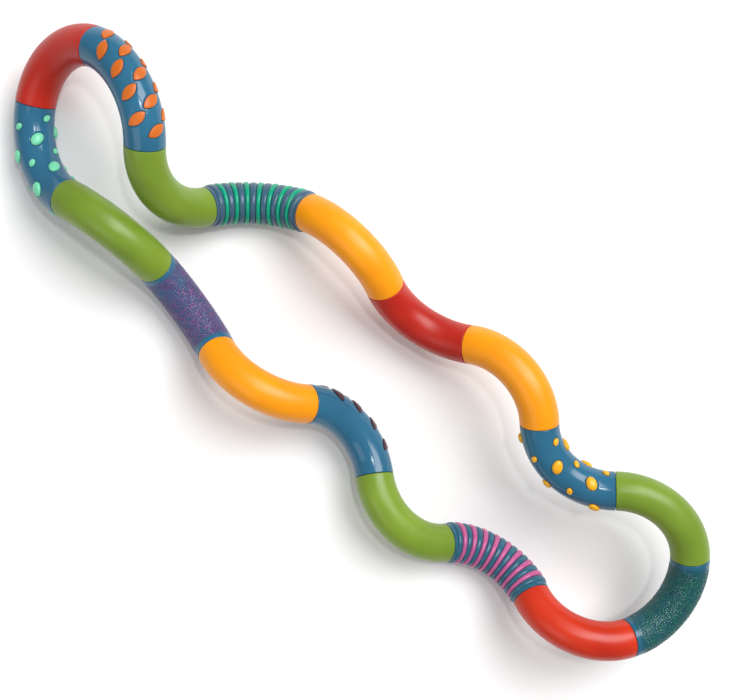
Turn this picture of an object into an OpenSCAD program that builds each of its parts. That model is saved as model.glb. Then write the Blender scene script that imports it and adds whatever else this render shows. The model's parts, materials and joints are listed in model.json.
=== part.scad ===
// Twisting tube puzzle: a closed loop of eighteen quarter-turn links on swivel pins.
// Ten links are smooth and eight carry a soft textured skin.

/* [Tube] */
// Bend radius of a link, to the middle of its tube
bend_r = 30; // [28:1:40]
// Outer diameter of the tube
tube_d = 16; // [15:0.5:20]
// Wall of the hollow middle of a link
wall = 2.2; // [1.8:0.1:2.8]
// Depth of the straight bores in the two ends
collar_l = 9; // [8.5:0.5:12]
// Gap between the end faces of neighbouring links
face_gap = 0.2; // [0.1:0.05:0.4]
// Gap at the pivot where the loop comes apart
open_gap = 1.2; // [1.1:0.1:2]

/* [Swivel pin] */
// Diameter of the shank pressed into a link
shank_d = 8; // [7:0.25:9]
// Length of the shank
shank_l = 7; // [5:0.5:8]
// Press of the shank in its bore, on the radius
press = 0.02; // [0:0.01:0.04]
// Diameter of the neck that turns in the next link
neck_d = 6.4; // [5:0.1:7]
// Running clearance round the neck, on the radius
run_gap = 0.08; // [0.04:0.01:0.1]
// Thickness of the lip that the pin snaps behind
lip_t = 2; // [1.5:0.1:3]
// How far the snap head stands out past the neck, on the radius
snap = 0.7; // [0.5:0.05:1]
// Length of the snap head
head_l = 3.6; // [3:0.1:4.2]
// Room round the snap head, on the radius
head_room = 0.9; // [0.6:0.1:1.2]
// Width of the two slots that let the head spring in
slot_w = 0.9; // [0.6:0.1:1.2]

/* [Textured skins] */
// Depth of a skin below the tube's surface
skin_t = 0.8; // [0.6:0.1:1]
// Gap left at the bond between a skin and its link
bond = 0.02; // [0.01:0.01:0.05]
// Bare collar at each end of a crackled, scaled or dotted link
bare_l = 4; // [3:0.5:6]
// Bare collar at each end of a ribbed link
rib_bare_l = 1.8; // [1.5:0.1:3]
// Height of a crackle sleeve above the tube
crackle_rise = 0.15; // [0.1:0.05:0.4]
// Height of the rings and bands above the tube
rib_rise = 0.8; // [0.3:0.1:1]
// Width of a coloured ring
ring_w = 2.1; // [1.6:0.1:2.4]
// Number of rings on the teal ribbed link
teal_rings = 7; // [5:1:8]
// Number of rings on the pink ribbed link
pink_rings = 8; // [5:1:8]
// Length of a leaf-shaped scale
scale_l = 8; // [5:0.5:9]
// Width of a scale
scale_w = 4; // [3:0.2:5]
// Angle between a scale and the tube, in degrees
scale_tilt = 62; // [50:2:70]
// Height of a scale above the tube
scale_rise = 0.5; // [0.3:0.1:1]
// Number of scales in the middle row
scales_in_row = 5; // [4:1:5]
// Number of dots on a dotted link
dots = 18; // [12:1:20]
// Diameter of a large dot
big_dot_d = 5; // [4:0.2:5.6]
// Height of a large dot above the tube
dot_rise = 1.2; // [0.8:0.1:1.5]
// Diameter of a small dot, as a share of a large one's
small_dot = 0.56; // [0.4:0.02:0.8]

/* [Pose at rest] */
// Heading of the tube at the start of each link, in degrees round from +X
headings = [80, -30, -95, 15, -20, -60, 0, -85, 0,
            -80, -175, 115, 175, 95, 175, 120, 130, 160]; // [-180:5:180]
// Climb of the tube at the start of each link, in degrees above level
climbs = [15, 40, -25, -35, 45, -35, 40, -15, 15,
          -15, 15, -40, 25, -20, 35, -45, 45, -40]; // [-60:5:60]

/* [Hidden] */
$fn = 96;
eps = 0.01;
far = 1e6;
// Step along a bend, in degrees, at which its lowest and outermost points are looked for
arc_step = 3;
// How often the rest pose is relaxed and then set down on its feet
RELAX_TURNS = 150;
SETTLE_TURNS = 4;

NAMES = ["red_1", "orange_scales", "green_1", "teal_ribs", "yellow_1", "red_2",
         "yellow_2", "yellow_dots", "green_2", "dark_crackle", "red_3", "pink_ribs",
         "green_3", "brown_scales", "yellow_3", "purple_crackle", "green_4", "mint_dots"];
SKINNED = [1, 3, 7, 9, 11, 13, 15, 17];
LINK_N = len(NAMES);
LINKS = [for (i = [0 : LINK_N - 1]) str("link_", NAMES[i])];
// The pin before the open pivot is left out.
OPEN = 10;
PIN_SEATS = [for (i = [0 : LINK_N - 1]) if (i != OPEN - 1) i];
PINS = [for (i = PIN_SEATS) str("pin_", NAMES[i])];
SKINS = [for (i = SKINNED) str("skin_", NAMES[i])];

tube_r = tube_d / 2;
lip_r = neck_d / 2 + run_gap;
head_r = neck_d / 2 + snap;
chamber_r = head_r + head_room;
head_play = 0.1;
head_x = face_gap / 2 + lip_t + head_play;
cavity_a = asin((collar_l - 1) / bend_r);
// Angle that a length of centre line takes up on the bend
function turn_of(l) = l / bend_r * 180 / PI;
bare_a = turn_of(bare_l);
rib_bare_a = turn_of(rib_bare_l);
ring_a = turn_of(ring_w);

BASE_COLORS = ["#BE2D23", "#32698C", "#7D9B37", "#4B6E82", "#FAA519", "#C83228",
               "#FAA519", "#32698C", "#7D9B37", "#285F6E", "#E13C1E", "#3C6E82",
               "#7D9B37", "#32698C", "#FAA519", "#466482", "#7D9B37", "#3C6E8C"];
SKIN_COLORS = ["#D2782D", "#00AA8C", "#F0BE1E", "#005A5A",
               "#C864A0", "#4B2D32", "#694B7D", "#78D2AA"];

// ---- Pose: a closed loop of equal quarter turns ----
// The tangents at neighbouring swivels are square to each other and all of them
// add up to nothing. relax() moves the wanted directions onto that rule.

function heading_dir(h, c) = [cos(c) * cos(h), cos(c) * sin(h), sin(c)];
function unit(v) = v / norm(v);
function total(vs, i = 0) = i >= len(vs) ? [0, 0, 0] : vs[i] + total(vs, i + 1);
function wrap(i) = (i + LINK_N) % LINK_N;

function relax(dirs, turns) =
    turns == 0 ? dirs :
    let (mean = total(dirs) / LINK_N,
         level = [for (d = dirs) d - mean])
    relax([for (i = [0 : LINK_N - 1])
           let (d = level[i], before = level[wrap(i - 1)], after = level[wrap(i + 1)])
           unit(d - 0.5 * (d * before) * before - 0.5 * (d * after) * after)],
          turns - 1);

// Start point of link i, with link 0 starting at zero
function start_of(dirs, i) =
    i == 0 ? [0, 0, 0] : start_of(dirs, i - 1) + bend_r * (dirs[i - 1] + dirs[i]);

// Point of link i's centre line at an angle along its bend
function on_bend(dirs, i, a) =
    start_of(dirs, i)
    + bend_r * (sin(a) * dirs[i] + (1 - cos(a)) * dirs[wrap(i + 1)]);

// Lowest of the points from a list, compared by height
function lowest(pts, i = 0, best = [0, 0, far]) =
    i >= len(pts) ? best : lowest(pts, i + 1, pts[i].z < best.z ? pts[i] : best);
function low_point(dirs, i) = lowest([for (a = [0 : arc_step : 90]) on_bend(dirs, i, a)]);

// Turns v by the rotation that carries the unit vector up onto +Z
function stand(v, up) =
    let (axis = cross(up, [0, 0, 1]), c = up.z)
    v + cross(axis, v) + cross(axis, cross(axis, v)) / (1 + c);

// The three links whose undersides the loop rests on
FEET = [17, 11, 3];
function is_ribbed(i) = i == 3 || i == 11;
function is_dotted(i) = i == 7 || i == 17;
function is_scaled(i) = i == 1 || i == 13;
function is_crackled(i) = i == 9 || i == 15;
// How far a link's surface stands out from its centre line
function reach(i) = tube_r + (is_ribbed(i) ? rib_rise : is_dotted(i) ? dot_rise : 0);
function foot(dirs, i) = low_point(dirs, i) - [0, 0, reach(i)];
function settle(dirs, turns) =
    turns == 0 ? dirs :
    let (p = [for (i = FEET) foot(dirs, i)],
         n = unit(cross(p[1] - p[0], p[2] - p[0])),
         up = n.z < 0 ? -n : n)
    settle([for (d = dirs) stand(d, up)], turns - 1);

RAW = [for (i = [0 : LINK_N - 1]) heading_dir(headings[i], climbs[i])];
T = settle(relax(RAW, RELAX_TURNS), SETTLE_TURNS);
CHAIN = [for (i = [0 : LINK_N - 1]) start_of(T, i)];
// Middle of the loop's outline along one axis
function middle(axis) =
    let (spans = [for (i = [0 : LINK_N - 1], a = [0 : arc_step : 90])
                  let (c = on_bend(T, i, a)[axis]) [c - reach(i), c + reach(i)]])
    (min([for (s = spans) s[0]]) + max([for (s = spans) s[1]])) / 2;
ORIGIN = [middle(0), middle(1), min([for (i = FEET) foot(T, i).z])];
// Start point and tangent of each link in the part's own frame
P = [for (p = CHAIN) p - ORIGIN];

// ---- Frames ----

// Link frame: origin at the link's start, +X along the tube, bend towards +Y
module at_link(i) {
    x = T[i];
    y = T[wrap(i + 1)];
    z = cross(x, y);
    multmatrix([[x.x, y.x, z.x, P[i].x],
                [x.y, y.y, z.y, P[i].y],
                [x.z, y.z, z.z, P[i].z],
                [0, 0, 0, 1]]) children();
}

// Frame on the tube's surface: +X straight out, +Y along the tube.
// side is measured round the tube from the outside of the bend.
module at_surface(along, side, depth = 0) {
    translate([0, bend_r, 0]) rotate([0, 0, along - 90]) translate([bend_r, 0, 0])
        rotate([0, -side, 0]) translate([tube_r - depth, 0, 0]) children();
}

// End frame: origin at the link's end, +X along the tube
module at_end() {
    translate([bend_r, bend_r, 0]) rotate([0, 0, 90]) children();
}

// Solid round bend of radius r from angle a to angle b
module bend(r, a = 0, b = 90) {
    translate([0, bend_r, 0]) rotate([0, 0, a - 90]) rotate_extrude(angle = b - a)
        translate([bend_r, 0]) circle(r);
}

// Hollow band round the tube from radius r0 to r1
module band(r0, r1, a, b) {
    translate([0, bend_r, 0]) rotate([0, 0, a - 90]) rotate_extrude(angle = b - a)
        translate([bend_r, 0]) difference() {
            circle(r1);
            circle(r0);
        }
}

// Straight bore or pin along +X from x0 to x1
module rod(r0, r1, x0, x1) {
    translate([x0, 0, 0]) rotate([0, 90, 0]) cylinder(h = x1 - x0, r1 = r0, r2 = r1);
}

// ---- Textured skins ----

// A sleeve or ring is cut out of its link as well, and grow is then the bond gap
module crackle_sleeve(grow) {
    band(tube_r - skin_t - grow, tube_r + crackle_rise,
         bare_a - turn_of(grow), 90 - bare_a + turn_of(grow));
}

// Angle along the bend where ring k of n starts, with equal bands between rings
function band_a(n) = (90 - 2 * rib_bare_a - n * ring_a) / (n + 1);
function ring_start(k, n) = rib_bare_a + (k + 1) * band_a(n) + k * ring_a;

module rings(n, grow) {
    for (k = [0 : n - 1])
        band(tube_r - skin_t - grow, tube_r + rib_rise + grow,
             ring_start(k, n) - turn_of(grow), ring_start(k, n) + ring_a + turn_of(grow));
}

// Raised bands of the link's own plastic between the rings: their height as a share of
// a ring's, and the share of a band that is left low at each of its edges
band_share = 0.8;
band_margin = 0.15;
module raised_bands(n) {
    margin_a = band_margin * band_a(n);
    band_rise = band_share * rib_rise;
    for (k = [0 : n])
        bend(tube_r + band_rise,
             ring_start(k, n) - band_a(n) + margin_a, ring_start(k, n) - margin_a);
}

// Pointed oval made of two arcs
module leaf(l, w) {
    r = (l * l + w * w) / (4 * w);
    intersection() {
        translate([0, r - w / 2]) circle(r);
        translate([0, w / 2 - r]) circle(r);
    }
}

// Rows of scales on the outside of the bend and one flank of the tube, at these side
// angles. The outer rows have one scale fewer and sit half a pitch off the middle one.
SCALE_ROWS = [-54, -3, 48];
module scales() {
    pitch = (90 - 2 * bare_a) / (scales_in_row - 0.5);
    intersection() {
        for (row = [0 : len(SCALE_ROWS) - 1])
            let (n = row % 2 == 0 ? scales_in_row - 1 : scales_in_row)
            for (k = [0 : n - 1])
                at_surface(45 + (k - (n - 1) / 2) * pitch, SCALE_ROWS[row], tube_r / 2)
                    rotate([0, 90, 0]) rotate(90 - scale_tilt)
                        linear_extrude(tube_r) leaf(scale_l, scale_w);
        band(tube_r + bond, tube_r + scale_rise, 0, 90);
    }
}

// Dots spread evenly over the tube by the golden angle, large and small in turn
GOLDEN = 137.5;
module dots_group() {
    step = (90 - 2 * bare_a) / dots;
    difference() {
        for (k = [0 : dots - 1])
            let (share = k % 2 == 0 ? 1 : small_dot,
                 foot_r = share * big_dot_d / 2,
                 rise = share * dot_rise,
                 r = (foot_r * foot_r + rise * rise) / (2 * rise))
            at_surface(bare_a + (k + 0.5) * step, k * GOLDEN, r - rise) sphere(r);
        bend(tube_r + bond, 0, 90);
    }
}

module skin_shape(i) {
    if (is_crackled(i)) crackle_sleeve(0);
    if (i == 3) rings(teal_rings, 0);
    if (i == 11) rings(pink_rings, 0);
    if (is_scaled(i)) scales();
    if (is_dotted(i)) dots_group();
}

// ---- The pieces ----

// Hollow quarter turn: snap socket in its start, press bore in its end
module link(i) {
    start_a = turn_of((i == OPEN ? open_gap : face_gap) / 2);
    end_a = turn_of((i == OPEN - 1 ? open_gap : face_gap) / 2);
    color(BASE_COLORS[i]) at_link(i) difference() {
        union() {
            bend(tube_r, start_a, 90 - end_a);
            if (i == 3) raised_bands(teal_rings);
            if (i == 11) raised_bands(pink_rings);
        }
        bend(tube_r - wall, cavity_a, 90 - cavity_a);
        rod(lip_r, lip_r, -1, face_gap / 2 + lip_t + eps);
        rod(chamber_r, chamber_r, face_gap / 2 + lip_t, collar_l);
        at_end() rod(shank_d / 2, shank_d / 2, -collar_l, 1);
        if (is_crackled(i)) crackle_sleeve(bond);
        if (i == 3) rings(teal_rings, bond);
        if (i == 11) rings(pink_rings, bond);
    }
}

// Snap pin: shank pressed into link i's end, slotted head in the next link
module pin(i) {
    face = face_gap / 2;
    color("whitesmoke") at_link(i) at_end() difference() {
        union() {
            rod(shank_d / 2 + press, shank_d / 2 + press, -face - shank_l, -face);
            rod(neck_d / 2, neck_d / 2, -face - eps, head_x + eps);
            rod(head_r, neck_d / 2 - snap, head_x, head_x + head_l);
        }
        for (turn = [0, 90])
            rotate([turn, 0, 0])
                translate([face, -slot_w / 2, -tube_r])
                    cube([head_x + head_l, slot_w, tube_d]);
    }
}

// Soft skin bonded to link i
module skin(i, tint) {
    color(tint) at_link(i) skin_shape(i);
}

for (i = [0 : LINK_N - 1])
    link(i);
for (k = [0 : len(PINS) - 1])
    pin(PIN_SEATS[k]);
for (k = [0 : len(SKINS) - 1])
    skin(SKINNED[k], SKIN_COLORS[k]);
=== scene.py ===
"""A closed loop of eighteen quarter-turn tube links on swivel pins, some with soft tactile skins."""

import json
import logging
import math
from dataclasses import dataclass, field
from enum import Enum

import bmesh
import bpy
import numpy as np
from mathutils import Matrix, Vector

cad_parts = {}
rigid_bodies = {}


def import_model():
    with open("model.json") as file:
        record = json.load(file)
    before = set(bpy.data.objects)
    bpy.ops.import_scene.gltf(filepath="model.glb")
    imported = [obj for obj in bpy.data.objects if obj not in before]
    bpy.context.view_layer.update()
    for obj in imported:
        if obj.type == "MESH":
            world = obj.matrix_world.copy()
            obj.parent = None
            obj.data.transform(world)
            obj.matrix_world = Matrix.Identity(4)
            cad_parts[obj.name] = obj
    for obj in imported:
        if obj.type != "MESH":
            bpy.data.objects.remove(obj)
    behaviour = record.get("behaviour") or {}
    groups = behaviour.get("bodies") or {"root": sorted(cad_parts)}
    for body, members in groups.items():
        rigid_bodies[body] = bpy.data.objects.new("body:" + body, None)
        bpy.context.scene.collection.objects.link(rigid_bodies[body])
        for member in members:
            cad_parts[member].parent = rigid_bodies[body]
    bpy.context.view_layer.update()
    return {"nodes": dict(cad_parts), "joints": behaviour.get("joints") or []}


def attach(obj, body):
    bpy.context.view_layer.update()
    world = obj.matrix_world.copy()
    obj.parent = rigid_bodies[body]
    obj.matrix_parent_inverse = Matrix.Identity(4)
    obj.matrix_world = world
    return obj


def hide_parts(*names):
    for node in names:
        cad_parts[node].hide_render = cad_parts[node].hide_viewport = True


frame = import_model()

log = logging.getLogger("twist_loop")

MM = 0.001
QUARTER = math.pi / 2
LINK_NAMES = (
    "red_1", "orange_scales", "green_1", "teal_ribs", "yellow_1", "red_2",
    "yellow_2", "yellow_dots", "green_2", "dark_crackle", "red_3", "pink_ribs",
    "green_3", "brown_scales", "yellow_3", "purple_crackle", "green_4", "mint_dots",
)
OPEN_LINK = "red_3"

# The tube and its joints
TUBE_R = 8 * MM
WALL = 2.2 * MM
FACE_GAP = 0.2 * MM
LIP_T = 2 * MM
LIP_R = 3.28 * MM
CHAMBER_R = 4.8 * MM
SHANK_R = 4.0 * MM
BORE_L = 9 * MM

# The skins: thickness of a sleeve, and the plain length that each kind leaves at a link's ends
SKIN_T = 0.8 * MM
BARE_L = 4 * MM
RIB_BARE_L = 1.8 * MM
SLEEVE_BARE_L = 2.2 * MM

# Clearance between pieces that touch, and how far a cutting tool reaches past what it cuts
FIT = 0.02 * MM
BORE_FIT = 0.03 * MM
REACH = 1 * MM

# Scales: the rows' angles round the tube, from the outside of the bend, and one scale's sizes
SCALE_ROWS = (-54, -3, 48)
SCALES_IN_LONGEST_ROW = 5
SCALE_L = 8 * MM
SCALE_W = 4 * MM
SCALE_RISE = 0.5 * MM
SCALE_TILT = math.radians(62)

# Dots: large and small in turn
DOT_COUNT = 18
DOT_L = 5.8 * MM
DOT_W = 4.3 * MM
DOT_RISE = 1.2 * MM
DOT_TILT = math.radians(50)
SMALL_DOT_SHARE = 0.56
GOLDEN_ANGLE = math.radians(137.5)


# ---------------------------------------------------------------- materials


def linear(hex_colour: str) -> tuple[float, float, float, float]:
    """Turns an sRGB hex colour into linear RGBA.

    Args:
        hex_colour: Six hex digits after a hash sign.

    Returns:
        The linear colour with an alpha of one.
    """
    parts = [int(hex_colour[k:k + 2], 16) / 255 for k in (1, 3, 5)]
    return (*[p / 12.92 if p <= 0.04045 else ((p + 0.055) / 1.055) ** 2.4 for p in parts], 1.0)


def add_node(tree: bpy.types.NodeTree, kind: str, links: dict | None = None, **settings) -> bpy.types.Node:
    """Adds one shader node with its settings, input values and links.

    Args:
        tree: The material's node tree.
        kind: The node's type name, without its ShaderNode prefix.
        links: Input socket name or index to a value or an output socket.
        **settings: Properties of the node itself.

    Returns:
        The new node.
    """
    node = tree.nodes.new("ShaderNode" + kind)
    for name, value in settings.items():
        setattr(node, name, value)
    for socket, value in (links or {}).items():
        if isinstance(value, bpy.types.NodeSocket):
            tree.links.new(value, node.inputs[socket])
        else:
            node.inputs[socket].default_value = value
    return node


class Grain(Enum):
    """How a surface left its mould: how wide and how deep its fine texture is."""

    POLISHED = (1.6 * MM, 0.015 * MM)
    SATIN = (0.4 * MM, 0.02 * MM)
    PEBBLED = (0.25 * MM, 0.05 * MM)

    @property
    def pitch(self) -> float:
        """How wide the texture is."""
        return self.value[0]

    @property
    def depth(self) -> float:
        """How deep it is."""
        return self.value[1]


PLASTIC_IOR = 1.42
GRAIN_STRENGTH = 0.5
SHEEN_ROUGHNESS = 0.4
CLEAR_SHARE = 0.35
CLEAR_COLOUR = (0.6, 1.0, 0.9)
# Colour drifts slowly along a moulded part, and handling leaves small smears
DRIFT_L = 25 * MM
SMEAR_L = 6 * MM
SMEAR_GLOSSIER = 0.03
SMEAR_DULLER = 0.04
# The middle of a noise texture's range, where nearly all of its values are
NOISE_LOW = 0.3
NOISE_HIGH = 0.7
# A sleeve's second colour was rubbed on by hand, so it comes and goes
RUB_L = 9 * MM
RUB_LOW = 0.28
RUB_HIGH = 0.48


@dataclass(frozen=True)
class MouldedPlastic:
    """Injection-moulded ABS or a soft thermoplastic rubber, coloured all through.

    Attributes:
        name: The material's name.
        colour: The plastic's own colour.
        shade: The colour where flow lines in the mould leave it a little deeper.
        roughness: The middle of the surface's roughness.
        grain: How the surface left its mould.
        sheen: How much soft bloom a rubber has.
        clear: How far light passes into the surface, in metres.
    """

    name: str
    colour: str
    shade: str
    roughness: float = 0.28
    grain: Grain = Grain.POLISHED
    sheen: float = 0.0
    clear: float = 0.0

    def make(self) -> bpy.types.Material:
        """Builds the node material, or returns the one already built.

        Returns:
            The material.
        """
        made = bpy.data.materials.get(self.name)
        if made:
            return made
        material = bpy.data.materials.new(self.name)
        material.use_nodes = True
        tree = material.node_tree
        shader = tree.nodes["Principled BSDF"]
        place = add_node(tree, "TexCoord").outputs["Object"]
        drift = add_node(tree, "TexNoise", {"Vector": place, "Scale": 1 / DRIFT_L, "Detail": 2.0})
        tint = add_node(tree, "ValToRGB", {"Fac": drift.outputs["Fac"]})
        tint.color_ramp.elements[0].position = NOISE_LOW
        tint.color_ramp.elements[0].color = linear(self.shade)
        tint.color_ramp.elements[1].position = NOISE_HIGH
        tint.color_ramp.elements[1].color = linear(self.colour)
        self.colour_surface(tree, shader, tint.outputs["Color"])
        smear = add_node(tree, "TexNoise", {"Vector": place, "Scale": 1 / SMEAR_L, "Detail": 4.0})
        gloss = add_node(tree, "MapRange", {
            "Value": smear.outputs["Fac"],
            "From Min": NOISE_LOW,
            "From Max": NOISE_HIGH,
            "To Min": self.roughness - SMEAR_GLOSSIER,
            "To Max": self.roughness + SMEAR_DULLER,
        })
        tree.links.new(gloss.outputs["Result"], shader.inputs["Roughness"])
        skin = add_node(tree, "TexNoise", {"Vector": place, "Scale": 1 / self.grain.pitch, "Detail": 3.0})
        bump = add_node(tree, "Bump", {
            "Height": skin.outputs["Fac"],
            "Strength": GRAIN_STRENGTH,
            "Distance": self.grain.depth,
        })
        tree.links.new(bump.outputs["Normal"], shader.inputs["Normal"])
        shader.inputs["IOR"].default_value = PLASTIC_IOR
        if self.sheen:
            shader.inputs["Sheen Weight"].default_value = self.sheen
            shader.inputs["Sheen Roughness"].default_value = SHEEN_ROUGHNESS
        if self.clear:
            shader.inputs["Subsurface Weight"].default_value = CLEAR_SHARE
            shader.inputs["Subsurface Scale"].default_value = self.clear
            shader.inputs["Subsurface Radius"].default_value = CLEAR_COLOUR
        return material

    def colour_surface(self, tree: bpy.types.NodeTree, shader: bpy.types.Node,
                       tint: bpy.types.NodeSocket) -> None:
        """Gives the shader its colour.

        Args:
            tree: The material's node tree.
            shader: The shader to colour.
            tint: The plastic's colour.
        """
        tree.links.new(tint, shader.inputs["Base Color"])


@dataclass(frozen=True)
class CrackledSkin(MouldedPlastic):
    """A soft sleeve moulded with fine pebbles, rubbed with a second colour that fades at its ends.

    Attributes:
        crack: Colour between the pebbles.
        crown: Colour of the pebbles' tops.
    """

    crack: str = "#000000"
    crown: str = "#000000"

    def colour_surface(self, tree: bpy.types.NodeTree, shader: bpy.types.Node,
                       tint: bpy.types.NodeSocket) -> None:
        """Mixes the cracks' and crowns' colours in by the sleeve's own attributes.

        Args:
            tree: The material's node tree.
            shader: The shader to colour.
            tint: The base colour.
        """
        cover = add_node(tree, "Attribute", attribute_name="cover")
        height = add_node(tree, "Attribute", attribute_name="pebble")
        shade = add_node(tree, "Attribute", attribute_name="shade")
        tops = add_node(tree, "Mix", {"Factor": shade.outputs["Fac"], "A": linear(self.crown), "B": tint},
                        data_type="RGBA")
        relief = add_node(tree, "Mix", {"Factor": height.outputs["Fac"], "A": linear(self.crack),
                                        "B": tops.outputs["Result"]}, data_type="RGBA")
        place = add_node(tree, "TexCoord").outputs["Object"]
        rub = add_node(tree, "TexNoise", {"Vector": place, "Scale": 1 / RUB_L, "Detail": 3.0})
        rubbed = add_node(tree, "MapRange", {
            "Value": rub.outputs["Fac"],
            "From Min": RUB_LOW,
            "From Max": RUB_HIGH,
        })
        amount = add_node(tree, "Math", {0: cover.outputs["Fac"], 1: rubbed.outputs["Result"]},
                          operation="MULTIPLY")
        mixed = add_node(tree, "Mix", {"Factor": amount.outputs["Value"], "A": tint,
                                       "B": relief.outputs["Result"]}, data_type="RGBA")
        tree.links.new(mixed.outputs["Result"], shader.inputs["Base Color"])


# Moulded ABS in bright toy colours: smooth, with soft reflections
RED = MouldedPlastic("abs_red", "#C22614", "#AA1D10", 0.36)
SCARLET = MouldedPlastic("abs_scarlet", "#D03412", "#BC260D", 0.32)
GREEN = MouldedPlastic("abs_leaf_green", "#7D9A2E", "#6C8828", 0.34)
YELLOW = MouldedPlastic("abs_sun_yellow", "#F99E04", "#EF9202", 0.36)
# The textured links are moulded in blues that differ a little, and are glossier
BLUE = MouldedPlastic("abs_sea_blue", "#2C6A8A", "#27607E", roughness=0.16)
SEA_GREY = MouldedPlastic("abs_sea_grey", "#2F667E", "#295B71", roughness=0.22)
SLATE = MouldedPlastic("abs_slate_blue", "#3F6078", "#37566C", roughness=0.22)
PETROL = MouldedPlastic("abs_petrol_blue", "#28617C", "#23566D", roughness=0.2)
# Soft thermoplastic rubber with a faint bloom. Light passes a little way into the lemon and the mint
ORANGE_RUBBER = MouldedPlastic("tpr_orange", "#D26C1C", "#BC5B18", 0.36, Grain.SATIN, 0.05)
TEAL_RUBBER = MouldedPlastic("tpr_teal", "#00A07C", "#008F70", 0.24, Grain.SATIN, 0.03)
PINK_RUBBER = MouldedPlastic("tpr_pink", "#C25E94", "#B25487", 0.26, Grain.SATIN, 0.03)
LEMON_RUBBER = MouldedPlastic("tpr_lemon", "#F3B81C", "#E8A416", 0.3, Grain.SATIN, 0.1, 1.0 * MM)
MINT_RUBBER = MouldedPlastic("tpr_mint", "#7FDDB2", "#6CCBA2", 0.28, Grain.SATIN, 0.05, 1.5 * MM)
BROWN_RUBBER = MouldedPlastic("tpr_oxblood", "#4A2A2E", "#3D2226", 0.36, Grain.SATIN, 0.1)
GREEN_CRACKLE = CrackledSkin("tpr_green_crackle", "#1E5869", "#1A4D5C", 0.17, Grain.PEBBLED,
                             crack="#02332B", crown="#176459")
PURPLE_CRACKLE = CrackledSkin("tpr_purple_crackle", "#33617F", "#3A5482", 0.17, Grain.PEBBLED,
                              crack="#412852", crown="#754E88")
# The snap pins' acetal, left natural white
PIN_ACETAL = MouldedPlastic("acetal_natural", "#E9E6DD", "#DEDACE", 0.38, Grain.SATIN)


# ---------------------------------------------------------------- the loop's frame


@dataclass(frozen=True)
class LinkFrame:
    """Where one link lies: its start, and its directions at both ends.

    Attributes:
        name: The link's name, which is also its body's.
        start: The start of the link's centre line.
        along: Direction of the tube at the start.
        after: Direction of the tube at the end.
    """

    name: str
    start: Vector
    along: Vector
    after: Vector

    def matrix(self) -> Matrix:
        """Gives the move from the link's own axes to the loop's.

        Returns:
            The matrix that carries a piece there.
        """
        third = self.along.cross(self.after)
        turn = Matrix((self.along, self.after, third)).transposed()
        return Matrix.Translation(self.start) @ turn.to_4x4()


def read_links() -> tuple[dict[str, LinkFrame], float]:
    """Works out each link's place from the swivels' points and axes.

    Returns:
        The links by name, and the radius of their bend.
    """
    tangent: dict[str, Vector] = {}
    point: dict[str, Vector] = {}
    for joint in frame["joints"]:
        ends = {joint["parent"], joint["child"]}
        for k, name in enumerate(LINK_NAMES):
            if ends == {name, LINK_NAMES[k - 1]}:
                tangent[name] = Vector(joint["axis"]).normalized()
                point[name] = Vector(joint["pos_m"])
    first, second = LINK_NAMES[0], LINK_NAMES[1]
    # A quarter turn's chord runs along the sum of its two end directions
    bend_r = (point[second] - point[first]).length / (tangent[first] + tangent[second]).length
    # The loop is closed, so the directions at all the swivels add up to nothing
    open_at = LINK_NAMES.index(OPEN_LINK)
    before = LINK_NAMES[open_at - 1]
    tangent[OPEN_LINK] = -sum(tangent.values(), Vector()).normalized()
    point[OPEN_LINK] = point[before] + bend_r * (tangent[before] + tangent[OPEN_LINK])
    links = {}
    for k, name in enumerate(LINK_NAMES):
        after = tangent[LINK_NAMES[(k + 1) % len(LINK_NAMES)]]
        links[name] = LinkFrame(name, point[name], tangent[name], after)
    return links, bend_r


LINKS, BEND_R = read_links()
LINK_L = BEND_R * QUARTER


# ---------------------------------------------------------------- modelling helpers

# How finely round shapes are divided
FINE_AROUND = 96
FINE_STEPS = 60
RECESS_STEPS = 40
CORE_STEPS = 44
CAVITY_AROUND = 48
CAVITY_STEPS = 24
BORE_AROUND = 64
RIM_SEGMENTS = 3
MERGE_DISTANCE = 1e-6


def start_piece() -> None:
    """Leaves nothing selected and object mode on, before a new primitive."""
    if bpy.context.object and bpy.context.object.mode != "OBJECT":
        bpy.ops.object.mode_set(mode="OBJECT")
    bpy.ops.object.select_all(action="DESELECT")


def select_only(*objects: bpy.types.Object) -> None:
    """Selects these objects and makes the first of them active.

    Args:
        *objects: What is selected.
    """
    start_piece()
    for o in objects:
        o.select_set(True)
    bpy.context.view_layer.objects.active = objects[0]


def vertices_of(piece: bpy.types.Object) -> np.ndarray:
    """Reads a piece's vertices.

    Args:
        piece: The piece.

    Returns:
        The vertices, one a row.
    """
    flat = np.empty(len(piece.data.vertices) * 3, np.float64)
    piece.data.vertices.foreach_get("co", flat)
    return flat.reshape(-1, 3)


def move_vertices(piece: bpy.types.Object, rows: np.ndarray) -> None:
    """Puts a piece's vertices at new places.

    Args:
        piece: The piece.
        rows: The new places, one a row.
    """
    piece.data.vertices.foreach_set("co", rows.reshape(-1))
    piece.data.update()


def polar(rows: np.ndarray) -> tuple[np.ndarray, np.ndarray, np.ndarray]:
    """Reads points in a link's own axes as places on its bent tube.

    Args:
        rows: Points, one a row.

    Returns:
        The distance along the centre line, the angle round the tube from the outside of the
        bend, and the distance from the centre line.
    """
    along = np.arctan2(rows[:, 0], BEND_R - rows[:, 1]) * BEND_R
    out = np.hypot(rows[:, 0], BEND_R - rows[:, 1]) - BEND_R
    return along, np.arctan2(rows[:, 2], out), np.hypot(out, rows[:, 2])


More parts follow.
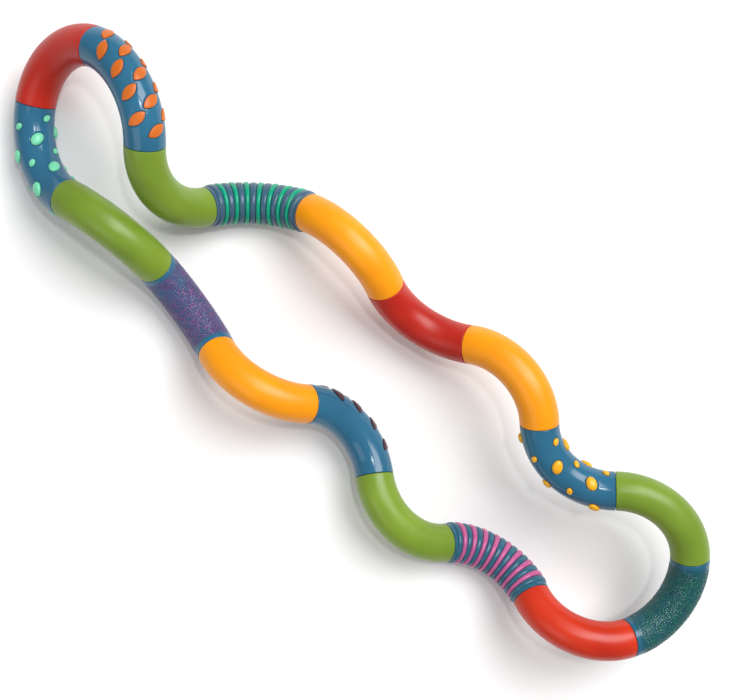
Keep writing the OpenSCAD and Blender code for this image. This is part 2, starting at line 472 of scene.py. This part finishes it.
def on_tube(along: np.ndarray, side: np.ndarray, radius: np.ndarray) -> np.ndarray:
    """Puts places on the bent tube back into the link's own axes.

    Args:
        along: Distances along the centre line.
        side: Angles round the tube from the outside of the bend.
        radius: Distances from the centre line.

    Returns:
        The points, one a row.
    """
    turn = along / BEND_R
    reach = BEND_R + radius * np.cos(side)
    return np.stack([reach * np.sin(turn), BEND_R - reach * np.cos(turn), radius * np.sin(side)], 1)


def outward(piece: bpy.types.Object) -> None:
    """Closes the seams of a piece and turns every face of it outwards.

    Args:
        piece: The piece.
    """
    select_only(piece)
    bpy.ops.object.mode_set(mode="EDIT")
    bpy.ops.mesh.select_all(action="SELECT")
    bpy.ops.mesh.remove_doubles(threshold=MERGE_DISTANCE)
    bpy.ops.mesh.normals_make_consistent(inside=False)
    bpy.ops.object.mode_set(mode="OBJECT")


def bent_rod(name: str, radius: float, begin: float, end: float,
             around: int = FINE_AROUND, steps: int = FINE_STEPS) -> bpy.types.Object:
    """Models a closed round rod that follows a link's bend.

    Args:
        name: The piece's name.
        radius: The rod's radius.
        begin: Where it starts, as a distance along the centre line.
        end: Where it ends.
        around: Points round the rod.
        steps: Steps along it.

    Returns:
        The rod, in the link's own axes.
    """
    start_piece()
    bpy.ops.mesh.primitive_circle_add(vertices=around, radius=radius, rotation=(0, QUARTER, 0))
    rod = bpy.context.object
    rod.name = name
    bpy.ops.object.mode_set(mode="EDIT")
    bpy.ops.mesh.select_all(action="SELECT")
    bpy.ops.mesh.spin(steps=steps, angle=(end - begin) / BEND_R, center=(0, BEND_R, 0), axis=(0, 0, 1))
    bpy.ops.mesh.select_all(action="SELECT")
    bpy.ops.mesh.fill_holes(sides=0)
    bpy.ops.object.mode_set(mode="OBJECT")
    bpy.ops.object.transform_apply()
    # The spin may turn the other way. A link bends towards its own +x and +y
    if vertices_of(rod)[:, 0].min() < -radius:
        rod.data.transform(Matrix.Scale(-1, 4, (1, 0, 0)))
    pivot = Matrix.Translation((0, BEND_R, 0))
    rod.data.transform(pivot @ Matrix.Rotation(begin / BEND_R, 4, "Z") @ pivot.inverted())
    outward(rod)
    return rod


def round_rims(piece: bpy.types.Object, width: float) -> None:
    """Rounds the edges of a rod's two end faces.

    Args:
        piece: The rod.
        width: How far the rounding reaches.
    """
    select_only(piece)
    bpy.ops.object.mode_set(mode="EDIT")
    bpy.ops.mesh.select_all(action="DESELECT")
    mesh = bmesh.from_edit_mesh(piece.data)
    bpy.ops.mesh.select_mode(type="EDGE")
    # Only the end faces have more than four corners
    for face in mesh.faces:
        if len(face.verts) > 4:
            for edge in face.edges:
                edge.select_set(True)
    bmesh.update_edit_mesh(piece.data)
    bpy.ops.mesh.bevel(offset=width, offset_type="OFFSET", segments=RIM_SEGMENTS, affect="EDGES")
    bpy.ops.object.mode_set(mode="OBJECT")


def straight_rod(name: str, radius: float, begin: float, end: float,
                 at_end: bool = False) -> bpy.types.Object:
    """Models a straight rod on the tube's axis at one end of a link.

    Args:
        name: The rod's name.
        radius: The rod's radius.
        begin: Where it starts, measured along the tube from that end.
        end: Where it ends.
        at_end: Whether it is at the link's far end.

    Returns:
        The rod, in the link's own axes.
    """
    start_piece()
    middle = (begin + end) / 2
    if at_end:
        location, rotation = (BEND_R, BEND_R + middle, 0), (QUARTER, 0, 0)
    else:
        location, rotation = (middle, 0, 0), (0, QUARTER, 0)
    bpy.ops.mesh.primitive_cylinder_add(vertices=BORE_AROUND, radius=radius, depth=end - begin,
                                        location=location, rotation=rotation)
    rod = bpy.context.object
    rod.name = name
    bpy.ops.object.transform_apply()
    return rod


def cut(piece: bpy.types.Object, tools: list[bpy.types.Object]) -> None:
    """Cuts tools out of a piece and throws the tools away.

    Args:
        piece: What is cut.
        tools: Closed pieces to take away.
    """
    for tool in tools:
        select_only(piece)
        modifier = piece.modifiers.new("cut", "BOOLEAN")
        modifier.operation = "DIFFERENCE"
        modifier.solver = "EXACT"
        modifier.object = tool
        bpy.ops.object.modifier_apply(modifier=modifier.name)
        bpy.data.objects.remove(tool)


def smooth(piece: bpy.types.Object, angle: float = 35) -> None:
    """Shades a piece smooth, except over sharp edges.

    Args:
        piece: The piece.
        angle: How sharp an edge has to be to stay one, in degrees.
    """
    select_only(piece)
    bpy.ops.object.shade_smooth_by_angle(angle=math.radians(angle))


def join(pieces: list[bpy.types.Object], name: str) -> bpy.types.Object:
    """Joins pieces into one.

    Args:
        pieces: The pieces.
        name: The name of the joined piece.

    Returns:
        The joined piece.
    """
    select_only(*pieces)
    bpy.ops.object.join()
    pieces[0].name = name
    pieces[0].data.name = name
    return pieces[0]


def place(piece: bpy.types.Object, link: LinkFrame, finish: MouldedPlastic, *nodes: str) -> None:
    """Carries a finished piece to its link, dresses it and lets it ride there.

    Args:
        piece: The piece, in the link's own axes.
        link: The link that it belongs to.
        finish: Its finish.
        *nodes: The frame's nodes that it stands for.
    """
    piece.data.transform(link.matrix())
    piece.data.materials.clear()
    piece.data.materials.append(finish.make())
    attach(piece, link.name)
    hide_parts(*nodes)
    log.info("%s: %d faces for %s", piece.name, len(piece.data.polygons), ", ".join(nodes))


# ---------------------------------------------------------------- the links' hard shells


@dataclass
class HardShell:
    """A hollow quarter turn of moulded plastic, with a snap socket in its start and a bore in its end.

    Attributes:
        rim: How far the end faces' edges are rounded.
        around: Points round the tube.
        steps: Steps along it.
    """

    rim: float = 0.3 * MM
    around: int = FINE_AROUND
    steps: int = FINE_STEPS

    def model(self, name: str, core: tuple[float, float, float] | None = None,
              relief: "Relief | None" = None) -> bpy.types.Object:
        """Models one shell in a link's own axes.

        Args:
            name: The piece's name.
            core: Radius, start and end of a recess that a sleeve fills, if there is one.
            relief: How the surface rises and falls, if it isn't plain.

        Returns:
            The shell.
        """
        half = FACE_GAP / 2
        shell = bent_rod(name, TUBE_R, half, LINK_L - half, self.around, self.steps)
        if relief:
            along, side, _ = polar(vertices_of(shell))
            move_vertices(shell, on_tube(along, side, TUBE_R + relief.height(along, side)))
        round_rims(shell, self.rim)
        if core:
            radius, begin, end = core
            ring = bent_rod("sleeve_cut", TUBE_R + REACH, begin, end, self.around, RECESS_STEPS)
            cut(ring, [bent_rod("sleeve_core", radius, begin - REACH, end + REACH, self.around, CORE_STEPS)])
            cut(shell, [ring])
        cut(shell, self.hollows())
        smooth(shell)
        return shell

    def hollows(self) -> list[bpy.types.Object]:
        """Models what is hollow in a shell: the socket, the press bore and the middle.

        Returns:
            The cutting tools.
        """
        overlap = REACH / 2
        cavity_end = LINK_L - BORE_L + overlap
        return [
            bent_rod("cavity", TUBE_R - WALL, BORE_L - overlap, cavity_end, CAVITY_AROUND, CAVITY_STEPS),
            straight_rod("lip", LIP_R, -REACH, LIP_T + overlap),
            straight_rod("chamber", CHAMBER_R, LIP_T + FACE_GAP / 2, BORE_L),
            straight_rod("press_bore", SHANK_R + BORE_FIT, -BORE_L, REACH, at_end=True),
        ]


class Relief:
    """How a link's surface rises above or falls below the plain tube."""

    def height(self, along: np.ndarray, side: np.ndarray) -> np.ndarray:
        """Gives the height over the plain tube at each place.

        Args:
            along: Distances along the centre line.
            side: Angles round the tube. Not used.

        Returns:
            The heights.
        """
        return np.zeros_like(along)


@dataclass
class RibRelief(Relief):
    """Rounded bands of blue plastic with a groove for a soft ring between every two.

    Attributes:
        rings: How many soft rings there are.
        ring_w: Width of a ring.
        crown: Height of a band's crown above the plain tube.
        valley: Depth of the crease beside a band.
        pocket: Depth of the groove that a ring sits in.
        wall: How far the side of that groove leans.
        fullness: How square a band's section is: 2 is an ellipse.
    """

    rings: int
    ring_w: float = 2.3 * MM
    crown: float = 0.64 * MM
    valley: float = 0.42 * MM
    pocket: float = 0.78 * MM
    wall: float = 0.2 * MM
    fullness: float = 2.6

    @property
    def band_w(self) -> float:
        """Width of a band of blue plastic."""
        return (LINK_L - 2 * RIB_BARE_L - self.rings * self.ring_w) / (self.rings + 1)

    def ring_middle(self, k: int) -> float:
        """Tells where the middle of a ring is.

        Args:
            k: The ring's number, from 0.

        Returns:
            Its distance along the link.
        """
        pitch = self.band_w + self.ring_w
        return RIB_BARE_L + self.band_w + self.ring_w / 2 + k * pitch

    def height(self, along: np.ndarray, side: np.ndarray) -> np.ndarray:
        """Gives the height of the bands and grooves at each place.

        Args:
            along: Distances along the centre line.
            side: Angles round the tube. Not used.

        Returns:
            The heights.
        """
        pitch = self.band_w + self.ring_w
        at = along - RIB_BARE_L
        inside = (at > 0) & (at < LINK_L - 2 * RIB_BARE_L)
        phase = np.mod(at, pitch)
        across = np.clip(phase / self.band_w, 0, 1) * 2 - 1
        arch = np.sqrt(np.clip(1 - np.abs(across) ** self.fullness, 0, 1))
        band = (self.crown + self.valley) * arch - self.valley
        in_groove = phase > self.band_w
        edge = np.minimum(phase - self.band_w, pitch - phase)
        groove = -self.valley - (self.pocket - self.valley) * np.clip(edge / self.wall, 0, 1)
        return np.where(inside, np.where(in_groove, groove, band), 0.0)


def ease(share: np.ndarray) -> np.ndarray:
    """Rounds off the start and the end of a slope from 0 to 1.

    Args:
        share: How far up the slope each place is. Past either end it's cut off.

    Returns:
        The rounded slope.
    """
    share = np.clip(share, 0, 1)
    return share * share * (3 - 2 * share)


# How full a scale's outline is: 0.5 is an oval, and 1 runs to sharp points
LEAF_FULLNESS = 0.8


def leaf_distance(u: np.ndarray, v: np.ndarray, length: float, width: float) -> np.ndarray:
    """Roughly how far a point lies outside a pointed oval.

    Args:
        u: Places along the oval's long axis, from its middle.
        v: Places across it.
        length: The oval's length.
        width: Its width.

    Returns:
        The distances, negative inside.
    """
    half_w = width / 2 * np.clip(1 - (2 * u / length) ** 2, 0, 1) ** LEAF_FULLNESS
    past_side = np.abs(v) - half_w
    past_tip = np.maximum(np.abs(u) - length / 2, 0)
    return np.hypot(past_side, past_tip) * np.where(past_side > 0, 1, -1)


@dataclass(frozen=True)
class Spot:
    """One scale or dot on a link's surface.

    Attributes:
        along: Where it is along the link.
        side: Where it is round the tube.
        length: Its long diameter.
        width: Its short diameter.
        rise: Its height above the tube.
        tilt: Angle between its long axis and the tube.
    """

    along: float
    side: float
    length: float
    width: float
    rise: float
    tilt: float

    @property
    def stretch(self) -> float:
        """How much longer the bend is on this side than on the centre line."""
        return 1 + TUBE_R / BEND_R * math.cos(self.side)

    def local(self, along: np.ndarray, side: np.ndarray) -> tuple[np.ndarray, np.ndarray]:
        """Reads places on the tube along and across this spot's long axis.

        Args:
            along: Distances along the centre line.
            side: Angles round the tube.

        Returns:
            The places along the long axis and across it.
        """
        a = (along - self.along) * self.stretch
        b = (np.mod(side - self.side + math.pi, 2 * math.pi) - math.pi) * TUBE_R
        u = a * math.cos(self.tilt) - b * math.sin(self.tilt)
        v = a * math.sin(self.tilt) + b * math.cos(self.tilt)
        return u, v

    def world(self, u: np.ndarray, v: np.ndarray, h: np.ndarray) -> np.ndarray:
        """Puts points over this spot onto the bent tube.

        Args:
            u: Places along the spot's long axis.
            v: Places across it.
            h: Heights above the tube.

        Returns:
            The points, one a row.
        """
        a = u * math.cos(self.tilt) + v * math.sin(self.tilt)
        b = -u * math.sin(self.tilt) + v * math.cos(self.tilt)
        return on_tube(self.along + a / self.stretch, self.side + b / TUBE_R, TUBE_R + h)


@dataclass
class SpotRelief(Relief):
    """A plain tube with a fine dark groove moulded round each scale or dot.

    Attributes:
        spots: The scales or dots.
        pointed: Whether they are pointed ovals.
        groove_w: Width of the groove.
        groove_d: Its depth.
    """

    spots: list[Spot]
    pointed: bool
    groove_w: float = 0.5 * MM
    groove_d: float = 0.42 * MM

    def height(self, along: np.ndarray, side: np.ndarray) -> np.ndarray:
        """Gives the height at each place, which is 0 outside the grooves.

        Args:
            along: Distances along the centre line.
            side: Angles round the tube.

        Returns:
            The heights.
        """
        height = np.zeros_like(along)
        for spot in self.spots:
            u, v = spot.local(along, side)
            if self.pointed:
                away = leaf_distance(u, v, spot.length, spot.width)
            else:
                away = np.hypot(u * spot.width / spot.length, v) - spot.width / 2
            near = np.hypot(u, v) < spot.length
            dip = ease(1 - away / self.groove_w)
            height = np.where(near, np.minimum(height, -self.groove_d * dip), height)
        return height


# ---------------------------------------------------------------- the soft skins


@dataclass
class SoftRings:
    """The soft coloured rings of a ribbed link.

    Attributes:
        relief: The bands and grooves that they sit between.
        crown_r: Radius at a ring's crown, from the tube's middle.
        foot: How square the foot of a ring's section is: 1 is an ellipse, and less is squarer.
        around: Points round a ring.
        section: Points round its section.
    """

    relief: RibRelief
    crown_r: float = 8.78 * MM
    foot: float = 0.8
    around: int = 112
    section: int = 24

    def model(self, name: str) -> bpy.types.Object:
        """Models a link's rings as one piece.

        Args:
            name: The piece's name.

        Returns:
            The rings, in the link's own axes.
        """
        half_w = self.relief.ring_w / 2
        base_r = TUBE_R - self.relief.pocket + FIT
        half_h = (self.crown_r - base_r) / 2
        start_piece()
        bpy.ops.mesh.primitive_torus_add(major_radius=base_r + half_h, minor_radius=half_w,
                                         major_segments=self.around, minor_segments=self.section,
                                         rotation=(0, QUARTER, 0))
        first = bpy.context.object
        bpy.ops.object.transform_apply()
        rows = vertices_of(first)
        reach = np.hypot(rows[:, 1], rows[:, 2])
        swell = (reach - base_r - half_h) / half_w
        # The crown is a full round, and the foot is squarer because it fills its groove
        flank = np.sign(rows[:, 0]) * half_w * (np.abs(rows[:, 0]) / half_w) ** self.foot
        rows[:, 0] = np.where(swell < 0, flank, rows[:, 0])
        radius = base_r + half_h + swell * half_h
        side = np.arctan2(rows[:, 2], -rows[:, 1])
        rings = []
        for k in range(self.relief.rings):
            ring = first.copy()
            ring.data = first.data.copy()
            bpy.context.scene.collection.objects.link(ring)
            move_vertices(ring, on_tube(self.relief.ring_middle(k) + rows[:, 0], side, radius))
            rings.append(ring)
        bpy.data.objects.remove(first)
        skin = join(rings, name)
        outward(skin)
        smooth(skin, 60)
        return skin


class Outline(Enum):
    """The outline of a scale or a dot."""

    LEAF = "leaf"
    OVAL = "oval"


@dataclass
class SoftSpots:
    """The soft scales or dots of one link, all from one moulded shape.

    Attributes:
        spots: Where they are.
        outline: Their outline.
        root: How deep their foot reaches below the tube's surface.
        points: Points round the outline.
        fullness: How fast a dot's side leans in: 1 is an ellipse, and less is fuller.
    """

    spots: list[Spot]
    outline: Outline
    root: float = 0.3 * MM
    points: int = 40
    fullness: float = 0.8

    def profile(self) -> list[tuple[float, float]]:
        """Gives the side view of a pad above the tube.

        Returns:
            Shares of its width and of its rise, from the bottom up.
        """
        if self.outline is Outline.LEAF:
            return [(1.0, 0.45), (0.985, 0.62), (0.95, 0.76), (0.88, 0.87), (0.76, 0.94), (0.55, 0.98),
                    (0.28, 1.0)]
        arc = [math.radians(angle) for angle in range(10, 90, 10)]
        return [(math.cos(angle) ** self.fullness, math.sin(angle)) for angle in arc]

    def pad(self) -> bpy.types.Object:
        """Models one pad flat, one unit long, wide and high.

        Returns:
            The pad.
        """
        start_piece()
        bpy.ops.mesh.primitive_circle_add(vertices=self.points, radius=0.5, fill_type="NGON",
                                          location=(0, 0, -1))
        pad = bpy.context.object
        bpy.ops.object.transform_apply()
        if self.outline is Outline.LEAF:
            rows = vertices_of(pad)
            rows[:, 1] = np.sign(rows[:, 1]) * np.abs(2 * rows[:, 1]) ** (2 * LEAF_FULLNESS) / 2
            move_vertices(pad, rows)
        bpy.ops.object.mode_set(mode="EDIT")
        bpy.ops.mesh.select_all(action="SELECT")
        size, level = 1.0, -1.0
        for share, height in [(1.0, 0.0)] + self.profile():
            bpy.ops.mesh.extrude_region_move(TRANSFORM_OT_translate={"value": (0, 0, height - level)})
            bpy.ops.transform.resize(value=(share / size, share / size, 1))
            size, level = share, height
        bpy.ops.mesh.poke()
        bpy.ops.object.mode_set(mode="OBJECT")
        outward(pad)
        return pad

    def model(self, name: str) -> bpy.types.Object:
        """Copies the pad to each of its places and joins the copies.

        Args:
            name: The piece's name.

        Returns:
            The skin, in the link's own axes.
        """
        first = self.pad()
        rows = vertices_of(first)
        pads = []
        for spot in self.spots:
            pad = first.copy()
            pad.data = first.data.copy()
            bpy.context.scene.collection.objects.link(pad)
            height = np.where(rows[:, 2] < 0, -self.root, rows[:, 2] * spot.rise)
            move_vertices(pad, spot.world(rows[:, 0] * spot.length, rows[:, 1] * spot.width, height))
            pads.append(pad)
        bpy.data.objects.remove(first)
        skin = join(pads, name)
        select_only(skin)
        bpy.ops.object.mode_set(mode="EDIT")
        bpy.ops.mesh.select_all(action="SELECT")
        bpy.ops.mesh.normals_make_consistent(inside=False)
        bpy.ops.object.mode_set(mode="OBJECT")
        smooth(skin, 50)
        return skin


@dataclass
class PebbledSleeve:
    """A soft sleeve whose surface is a close crackle of small pebbles, fading to plain at both ends.

    Attributes:
        pitch: How far apart the pebbles are.
        depth: Depth of the cracks between them.
        swell: How far the pebbles' tops stand above the plain tube.
        slope: Width of a pebble's rounded side, as a share of the pitch.
        fade: How far from each end the crackle is full.
        around: Points round the sleeve.
        steps: Steps along it.
        seed: Which arrangement of pebbles it has.
    """

    pitch: float = 1.15 * MM
    depth: float = 0.42 * MM
    swell: float = 0.14 * MM
    slope: float = 0.42
    fade: float = 2.6 * MM
    around: int = 224
    steps: int = 176
    seed: int = 3

    def model(self, name: str) -> bpy.types.Object:
        """Models the sleeve and stores where its colours go.

        Args:
            name: The piece's name.

        Returns:
            The sleeve, in the link's own axes.
        """
        begin = SLEEVE_BARE_L + FIT
        end = LINK_L - begin
        sleeve = bent_rod(name, TUBE_R, begin, end, self.around, self.steps)
        along, side, _ = polar(vertices_of(sleeve))
        near, shade = self.pebbles(along, side, end - begin)
        ends = ease(np.minimum(along - begin, end - along) / self.fade)
        crown = np.clip(near / (self.slope * self.pitch), 0, 1)
        crown = np.sqrt(1 - (1 - crown) ** 2)
        height = self.swell * ends + self.depth * ends * (crown - 1)
        move_vertices(sleeve, on_tube(along, side, TUBE_R + height))
        for label, values in (("cover", ends), ("pebble", crown), ("shade", shade)):
            layer = sleeve.data.attributes.new(label, "FLOAT", "POINT")
            layer.data.foreach_set("value", values.astype(np.float32))
        cut(sleeve, [bent_rod("sleeve_bore", TUBE_R - SKIN_T, begin - REACH, end + REACH, steps=50)])
        smooth(sleeve, 60)
        return sleeve

    def pebbles(self, along: np.ndarray, side: np.ndarray, length: float) -> tuple[np.ndarray, np.ndarray]:
        """Scatters pebbles over the sleeve, one to a cell of a jittered grid that closes round the tube.

        Args:
            along: Distances along the centre line.
            side: Angles round the tube.
            length: The sleeve's length.

        Returns:
            How far each place is from the nearest crack, and its pebble's tone from 0 to 1.
        """
        around = round(2 * math.pi * TUBE_R / self.pitch)
        rows = math.ceil(length / self.pitch) + 3
        dice = np.random.default_rng(self.seed)
        jitter = dice.uniform(0.1, 0.9, (rows, around, 2))
        tone = dice.uniform(0, 1, (rows, around))
        x = (along - SLEEVE_BARE_L) / self.pitch + 1
        y = np.mod(side / (2 * math.pi), 1) * around
        cell_x, cell_y = np.floor(x).astype(int), np.floor(y).astype(int)
        best = np.full(x.shape, np.inf)
        second = np.full(x.shape, np.inf)
        shade = np.zeros(x.shape)
        for dx in (-1, 0, 1):
            for dy in (-1, 0, 1):
                row = np.clip(cell_x + dx, 0, rows - 1)
                column = np.mod(cell_y + dy, around)
                away = np.hypot(cell_x + dx + jitter[row, column, 0] - x,
                                cell_y + dy + jitter[row, column, 1] - y)
                closer = away < best
                second = np.where(closer, best, np.minimum(second, away))
                shade = np.where(closer, tone[row, column], shade)
                best = np.where(closer, away, best)
        return (second - best) / 2 * self.pitch, shade


# ---------------------------------------------------------------- the loop's pieces


def scale_spots() -> list[Spot]:
    """Lays out staggered rows of scales round the outside of a link's bend.

    Returns:
        The scales.
    """
    pitch = (LINK_L - 2 * BARE_L) / (SCALES_IN_LONGEST_ROW - 0.5)
    spots = []
    for row, side in enumerate(SCALE_ROWS):
        # Every second row has one more, so that its scales lie between its neighbours'
        count = SCALES_IN_LONGEST_ROW - 1 + row % 2
        for k in range(count):
            along = LINK_L / 2 + (k - (count - 1) / 2) * pitch
            spots.append(Spot(along, math.radians(side), SCALE_L, SCALE_W, SCALE_RISE, SCALE_TILT))
    return spots


def dot_spots() -> list[Spot]:
    """Spreads large and small dots in turn round a link by the golden angle.

    Returns:
        The dots.
    """
    step = (LINK_L - 2 * BARE_L) / DOT_COUNT
    spots = []
    for k in range(DOT_COUNT):
        share = 1.0 if k % 2 == 0 else SMALL_DOT_SHARE
        spots.append(Spot(BARE_L + (k + 0.5) * step, k * GOLDEN_ANGLE, DOT_L * share, DOT_W * share,
                          DOT_RISE * share, DOT_TILT))
    return spots


@dataclass
class SmoothLinks:
    """The ten plain links, all of one shape, in four colours.

    Attributes:
        finishes: The finish of each link by name.
    """

    finishes: dict[str, MouldedPlastic] = field(default_factory=lambda: {
        "red_1": RED, "red_2": RED, "red_3": SCARLET,
        "green_1": GREEN, "green_2": GREEN, "green_3": GREEN, "green_4": GREEN,
        "yellow_1": YELLOW, "yellow_2": YELLOW, "yellow_3": YELLOW,
    })

    def build(self) -> None:
        """Models one shell and copies it to every plain link."""
        first = HardShell().model("shell")
        for name, finish in self.finishes.items():
            shell = first.copy()
            shell.data = first.data.copy()
            shell.name = shell.data.name = f"shell_{name}"
            bpy.context.scene.collection.objects.link(shell)
            place(shell, LINKS[name], finish, f"link_{name}")
        bpy.data.objects.remove(first)


@dataclass
class RibbedLink:
    """A blue link with soft rings between rounded bands.

    Attributes:
        name: The link's name.
        rings: How many soft rings it has.
        base: The hard plastic's finish.
        skin: The soft rings' finish.
        steps: Steps along the shell, enough to draw its grooves.
    """

    name: str
    rings: int
    base: MouldedPlastic
    skin: MouldedPlastic
    steps: int = 240

    def build(self) -> None:
        """Models the shell and its rings."""
        relief = RibRelief(self.rings)
        shell = HardShell(steps=self.steps).model(f"shell_{self.name}", relief=relief)
        place(shell, LINKS[self.name], self.base, f"link_{self.name}")
        rings = SoftRings(relief).model(f"rings_{self.name}")
        place(rings, LINKS[self.name], self.skin, f"skin_{self.name}")


@dataclass
class SpottedLink:
    """A blue link with soft scales or dots set in it.

    Attributes:
        name: The link's name.
        outline: The outline of its scales or dots.
        base: The hard plastic's finish.
        skin: The soft pads' finish.
        around: Points round the shell, enough to draw the grooves.
        steps: Steps along it.
    """

    name: str
    outline: Outline
    base: MouldedPlastic
    skin: MouldedPlastic
    around: int = 200
    steps: int = 190

    def build(self) -> None:
        """Models the shell with its grooves, and the pads."""
        pointed = self.outline is Outline.LEAF
        spots = scale_spots() if pointed else dot_spots()
        relief = SpotRelief(spots, pointed)
        shell = HardShell(around=self.around, steps=self.steps).model(f"shell_{self.name}", relief=relief)
        place(shell, LINKS[self.name], self.base, f"link_{self.name}")
        pads = SoftSpots(spots, self.outline).model(f"pads_{self.name}")
        place(pads, LINKS[self.name], self.skin, f"skin_{self.name}")


@dataclass
class CrackledLink:
    """A blue link with a pebbled sleeve between two plain collars.

    Attributes:
        name: The link's name.
        base: The hard plastic's finish.
        skin: The sleeve's finish.
        seed: Which arrangement of pebbles it has.
    """

    name: str
    base: MouldedPlastic
    skin: MouldedPlastic
    seed: int

    def build(self) -> None:
        """Models the shell and its sleeve."""
        core = (TUBE_R - SKIN_T - FIT, SLEEVE_BARE_L, LINK_L - SLEEVE_BARE_L)
        shell = HardShell().model(f"shell_{self.name}", core=core)
        place(shell, LINKS[self.name], self.base, f"link_{self.name}")
        sleeve = PebbledSleeve(seed=self.seed).model(f"sleeve_{self.name}")
        place(sleeve, LINKS[self.name], self.skin, f"skin_{self.name}")


@dataclass
class SnapPins:
    """The acetal pins that join the links."""

    def build(self) -> None:
        """Dresses the pins, whose shape the frame already has."""
        for name, node in frame["nodes"].items():
            if name.startswith("pin_"):
                node.data.materials.clear()
                node.data.materials.append(PIN_ACETAL.make())
                log.info("%s: dressed", name)


# ---------------------------------------------------------------- floor, light and camera


@dataclass
class Studio:
    """A white floor under a large softbox, a small bulb, a fill light and an evenly lit room.

    Attributes:
        camera_at: Where the camera stands.
        camera_up: The direction that is up in its view.
        aim_at: What it looks at.
        sensor: Its sensor's width, in millimetres.
        lens: Its focal length, in millimetres.
        floor_w: Width of the floor.
        room_light: Strength of the room's light.
    """

    camera_at: tuple[float, float, float] = (-0.0466, 0.0300, 0.5042)
    camera_up: tuple[float, float, float] = (-0.0085, 1.0, 0.0)
    aim_at: tuple[float, float, float] = (0.0027, -0.0007, 0.0)
    sensor: float = 36
    lens: float = 58.6
    floor_w: float = 8
    room_light: float = 0.34

    def build(self) -> None:
        """Sets up the floor, the lights and the camera."""
        self.floor()
        self.world()
        self.light("softbox", (0.52, 0.55, 1.10), 0.80, 0.80, 17.0)
        self.light("bulb", (0.04, 0.16, 0.90), 0.04, 0.06, 1.2)
        self.light("fill", (-0.90, -0.60, 1.00), 0.80, 0.80, 3.0)
        self.camera()
        bpy.context.scene.view_settings.view_transform = "Standard"

    def floor(self) -> None:
        """Lays a wide white floor that the loop rests on."""
        start_piece()
        bpy.ops.mesh.primitive_plane_add(size=self.floor_w)
        floor = bpy.context.object
        floor.name = "floor"
        material = bpy.data.materials.new("white_paper")
        material.use_nodes = True
        shader = material.node_tree.nodes["Principled BSDF"]
        shader.inputs["Base Color"].default_value = linear("#FAFAFA")
        shader.inputs["Roughness"].default_value = 0.9
        shader.inputs["Specular IOR Level"].default_value = 0.1
        floor.data.materials.append(material)

    def world(self) -> None:
        """Fills the room with even white light."""
        world = bpy.data.worlds.new("room")
        world.use_nodes = True
        background = world.node_tree.nodes["Background"]
        background.inputs["Color"].default_value = (1, 1, 1, 1)
        background.inputs["Strength"].default_value = self.room_light
        bpy.context.scene.world = world

    def light(self, name: str, at: tuple[float, float, float], wide: float, deep: float,
              watts: float) -> None:
        """Hangs one rectangular soft light that faces the loop.

        Args:
            name: The light's name.
            at: Where it hangs.
            wide: Its width.
            deep: Its other side.
            watts: Its power.
        """
        lamp = bpy.data.lights.new(name, "AREA")
        lamp.shape = "RECTANGLE"
        lamp.size, lamp.size_y = wide, deep
        lamp.energy = watts
        holder = bpy.data.objects.new(name, lamp)
        holder.location = at
        holder.rotation_euler = (-Vector(at)).to_track_quat("-Z", "Y").to_euler()
        bpy.context.scene.collection.objects.link(holder)

    def camera(self) -> None:
        """Stands the camera a little to the left of straight above the loop."""
        data = bpy.data.cameras.new("camera")
        data.sensor_width = self.sensor
        data.lens = self.lens
        camera = bpy.data.objects.new("camera", data)
        back = (Vector(self.camera_at) - Vector(self.aim_at)).normalized()
        right = Vector(self.camera_up).cross(back).normalized()
        turn = Matrix((right, back.cross(right), back)).transposed()
        camera.matrix_world = Matrix.Translation(self.camera_at) @ turn.to_4x4()
        bpy.context.scene.collection.objects.link(camera)
        bpy.context.scene.camera = camera


def main() -> None:
    """Builds every part of the loop, then the studio."""
    logging.basicConfig(level=logging.INFO, format="%(name)s: %(message)s")
    SmoothLinks().build()
    RibbedLink("teal_ribs", 7, SLATE, TEAL_RUBBER).build()
    RibbedLink("pink_ribs", 8, SEA_GREY, PINK_RUBBER).build()
    SpottedLink("orange_scales", Outline.LEAF, BLUE, ORANGE_RUBBER).build()
    SpottedLink("brown_scales", Outline.LEAF, BLUE, BROWN_RUBBER).build()
    SpottedLink("yellow_dots", Outline.OVAL, BLUE, LEMON_RUBBER).build()
    SpottedLink("mint_dots", Outline.OVAL, BLUE, MINT_RUBBER).build()
    CrackledLink("dark_crackle", PETROL, GREEN_CRACKLE, 3).build()
    CrackledLink("purple_crackle", BLUE, PURPLE_CRACKLE, 5).build()
    SnapPins().build()
    Studio().build()
    start_piece()


if __name__ == "__main__":
    main()
